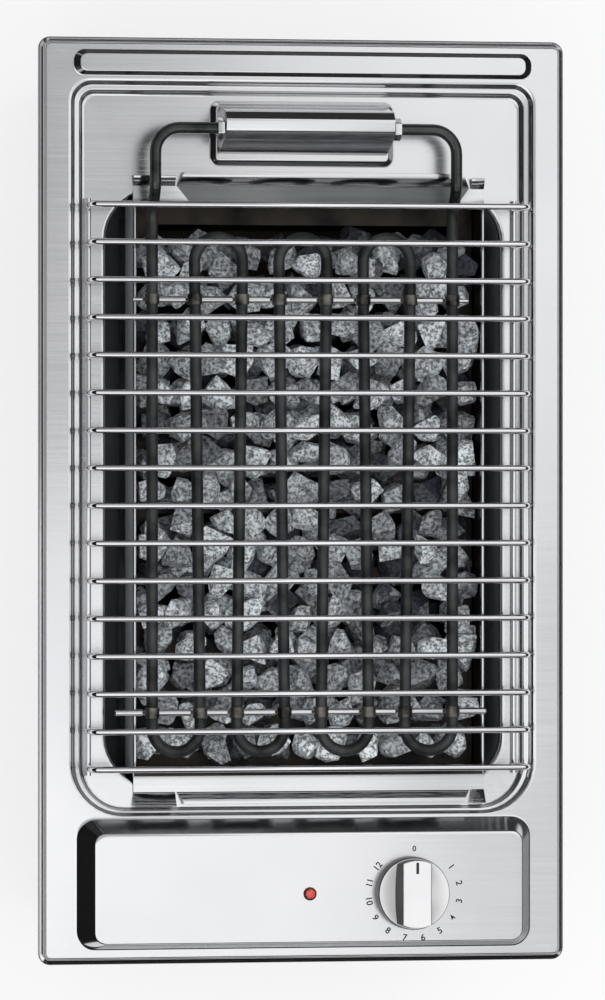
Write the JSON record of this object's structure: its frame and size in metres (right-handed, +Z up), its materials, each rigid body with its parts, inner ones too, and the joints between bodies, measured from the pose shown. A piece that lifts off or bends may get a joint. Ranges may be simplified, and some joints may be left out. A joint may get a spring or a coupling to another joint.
{
  "type": "built-in electric grill",
  "caption": "Narrow built-in electric lava grill: pressed steel top plate, wire grid over a hinged serpentine heating element and a tray of lava rocks, with a rotary knob and a pilot lamp.",
  "frame": {"origin": "Centre of the base casing's underside, straight below the centre of the plate.", "axes": "+X to the right across the plate, +Y to the rear, +Z up out of the worktop."},
  "size_m": [0.295, 0.51, 0.1845],
  "materials": {
    "brushed_stainless": "brushed across the width",
    "plain_steel": "plain bright sheet",
    "wire_steel": "polished wire",
    "bright_steel": "polished",
    "galvanised_steel": "zinc coated, dull",
    "element_sheath": "dark oxidised tube",
    "lava_stone": "rough and porous",
    "seal_rubber": "soft black",
    "knob_plastic": "satin silver",
    "bakelite": "moulded brown",
    "lamp_black": "gloss black",
    "lamp_red": "clear red",
    "lamp_white": "moulded white",
    "gland_plastic": "moulded black",
    "porcelain": "glazed white",
    "terminal_brass": "plain",
    "wire_insulation": "silicone",
    "lead_sleeve": "woven glass sleeve",
    "earth_insulation": "green"
  },
  "bodies": {
    "body": {"hob_plate": "brushed_stainless", "rim_seal": "seal_rubber", "grill_well": "plain_steel", "lava_tray": "plain_steel", "rock_rack": "plain_steel", "lava_rocks": "lava_stone", "terminal_cover": "brushed_stainless", "housing_end_plates": "brushed_stainless", "pivot_bushes": "bright_steel", "housing_seat": "brushed_stainless", "housing_screws": "bright_steel", "regulator_bracket": "galvanised_steel", "energy_regulator": "bakelite", "regulator_nut": "bright_steel", "lamp_bezel": "lamp_black", "lamp_lens": "lamp_red", "lamp_body": "lamp_white", "casing_floor": "galvanised_steel", "casing_sides": "galvanised_steel", "casing_ends": "galvanised_steel", "worktop_clamps": "galvanised_steel", "clamp_screws": "bright_steel", "casing_screws": "bright_steel", "heat_shield": "galvanised_steel", "cable_gland": "gland_plastic", "terminal_block": "porcelain", "terminal_screws": "terminal_brass", "earth_stud": "terminal_brass", "supply_wires": "wire_insulation", "element_leads": "lead_sleeve", "lamp_wires": "wire_insulation", "earth_wire": "earth_insulation", "blade_receptacles": "terminal_brass"},
    "element": {"heating_element": "element_sheath", "terminal_pins": "plain_steel", "element_clips": "plain_steel", "rear_support_rod": "wire_steel", "front_support_rod": "wire_steel", "rest_pins": "wire_steel", "spacer_tubes": "plain_steel", "element_nuts": "bright_steel"},
    "grid": {"grid_bars": "wire_steel", "grid_rails": "wire_steel"},
    "knob": {"control_knob": "knob_plastic", "regulator_spindle": "bright_steel"}
  },
  "joints": [
    {"name": "element_tilt", "type": "hinge", "parent": "body", "child": "element", "pos_m": [0, 0.2045, 0.1715], "axis": [-1, 0, 0], "range_deg": [0, 90]},
    {"name": "grid_lift", "type": "slide", "parent": "body", "child": "grid", "axis": [0, 0, 1], "range_m": [0, 0.53]},
    {"name": "knob_turn", "type": "hinge", "parent": "body", "child": "knob", "pos_m": [0.0585, -0.2165, 0.1665], "axis": [0, 0, 1], "range_deg": [-307.6, 0]}
  ],
  "couplings": [
    {"joint": "grid_lift", "follows": "element_tilt", "m_per_rad": 0.33}
  ]
}
